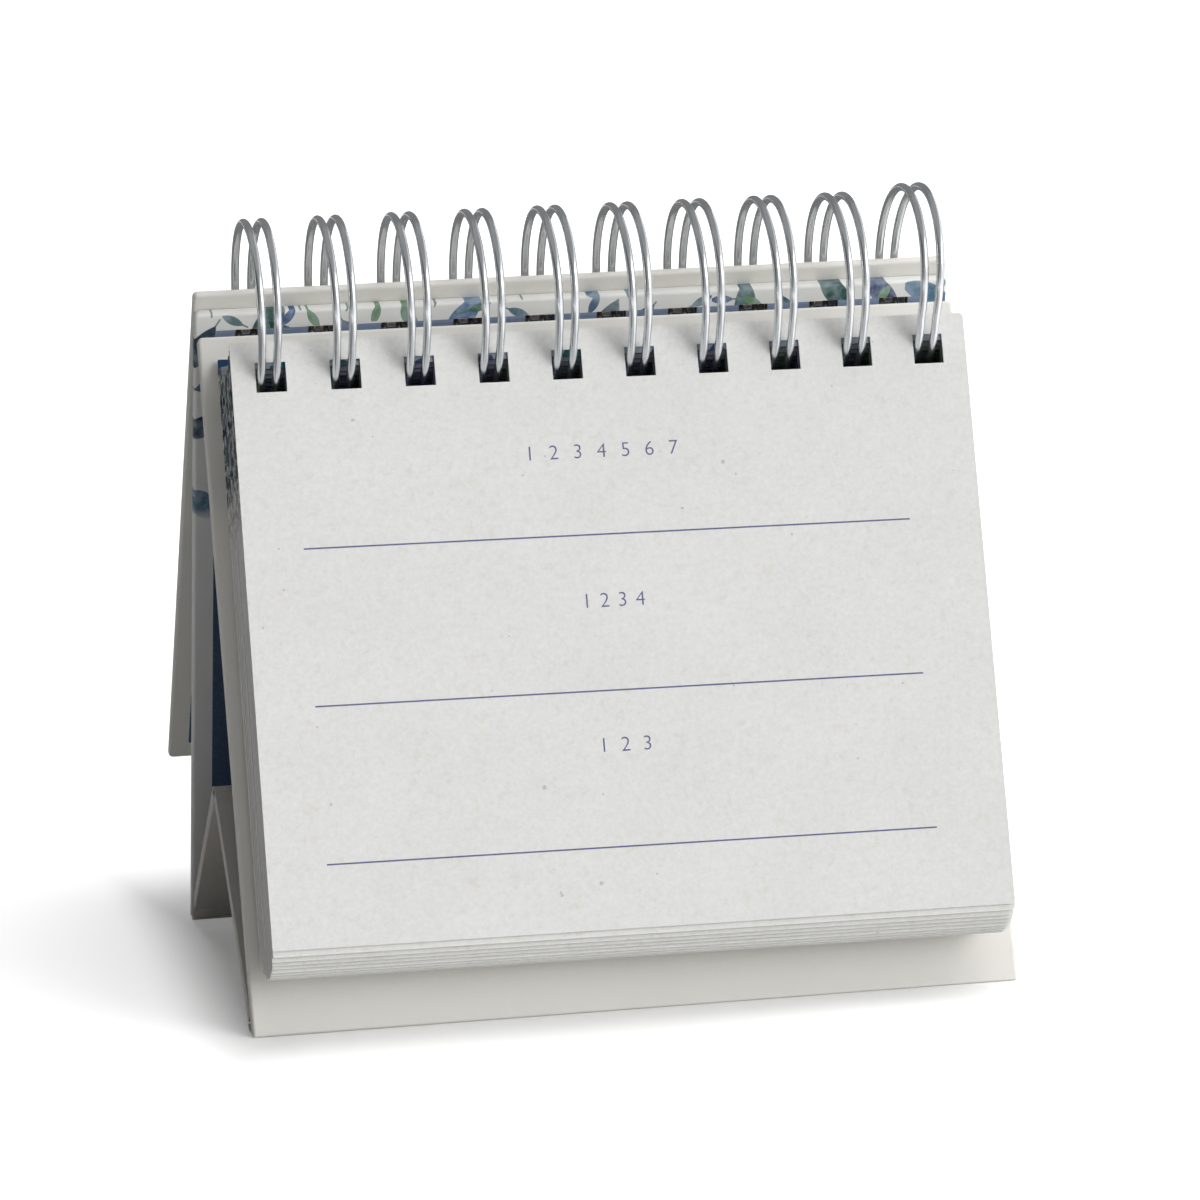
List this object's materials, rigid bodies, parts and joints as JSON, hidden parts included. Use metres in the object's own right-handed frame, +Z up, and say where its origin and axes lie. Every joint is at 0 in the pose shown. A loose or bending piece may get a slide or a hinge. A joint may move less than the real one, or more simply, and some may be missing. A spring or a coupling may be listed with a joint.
{
  "type": "perpetual flip calendar",
  "caption": "Desk easel with a folding base, carrying a thick block of ruled date leaves on a twin-loop binding wire; leaves and cover turn over the loops to the back.",
  "frame": {"origin": "on the floor, under the middle of the whole calendar's bounding box", "axes": "+Z up, +X to the right across the width, the leaves face -Y"},
  "size_m": [0.1336, 0.1074, 0.1324],
  "materials": {
    "greyboard": "matte",
    "cover_paper": "matte",
    "liner_paper": "matte",
    "leaf_paper": "matte",
    "leaf_card": "matte",
    "wire": "satin"
  },
  "bodies": {
    "stand": {"front_board_core": "greyboard", "front_board_wrap": "cover_paper", "front_board_liner": "liner_paper", "front_foot_hinge": "cover_paper", "binding_wire": "wire", "month_block_01": "leaf_paper", "month_block_02": "leaf_paper", "month_block_03": "leaf_paper", "month_block_04": "leaf_paper", "month_block_05": "leaf_paper", "month_block_06": "leaf_paper", "month_block_07": "leaf_paper", "month_block_08": "leaf_paper", "month_block_09": "leaf_paper", "month_block_10": "leaf_paper", "month_block_11": "leaf_paper", "month_block_12": "leaf_paper", "back_card": "leaf_card"},
    "back_panel": {"back_board_core": "greyboard", "back_board_wrap": "cover_paper", "back_board_liner": "liner_paper", "back_foot_hinge": "cover_paper"},
    "base_front": {"base_front_core": "greyboard", "base_front_wrap": "cover_paper", "base_front_liner": "liner_paper", "ridge_hinge": "cover_paper"},
    "base_back": {"base_back_core": "greyboard", "base_back_wrap": "cover_paper", "base_back_liner": "liner_paper"},
    "cover": {"cover_core": "greyboard", "cover_wrap": "cover_paper", "cover_liner": "liner_paper"},
    "leaf": {"front_leaf": "leaf_paper"}
  },
  "joints": [
    {"name": "easel_fold", "type": "hinge", "parent": "stand", "child": "back_panel", "pos_m": [0, -0.00027, 0.11434], "axis": [1, 0, 0], "range_deg": [-19, 0]},
    {"name": "base_fold", "type": "hinge", "parent": "stand", "child": "base_front", "pos_m": [0, -0.03984, 0.00275], "axis": [1, 0, 0], "range_deg": [0, 21]},
    {"name": "ridge_fold", "type": "hinge", "parent": "base_front", "child": "base_back", "pos_m": [0, -0.00432, 0.031], "axis": [1, 0, 0], "range_deg": [-66, 0]},
    {"name": "cover_flip", "type": "hinge", "parent": "stand", "child": "cover", "pos_m": [0, -0.00627, 0.11734], "axis": [1, 0, 0], "range_deg": [0, 195]},
    {"name": "leaf_flip", "type": "hinge", "parent": "stand", "child": "leaf", "pos_m": [0, -0.00627, 0.11734], "axis": [1, 0, 0], "range_deg": [-195, 0]}
  ],
  "couplings": [
    {"joint": "base_fold", "follows": "easel_fold", "ratio": -1},
    {"joint": "ridge_fold", "follows": "easel_fold", "ratio": 3.35}
  ]
}
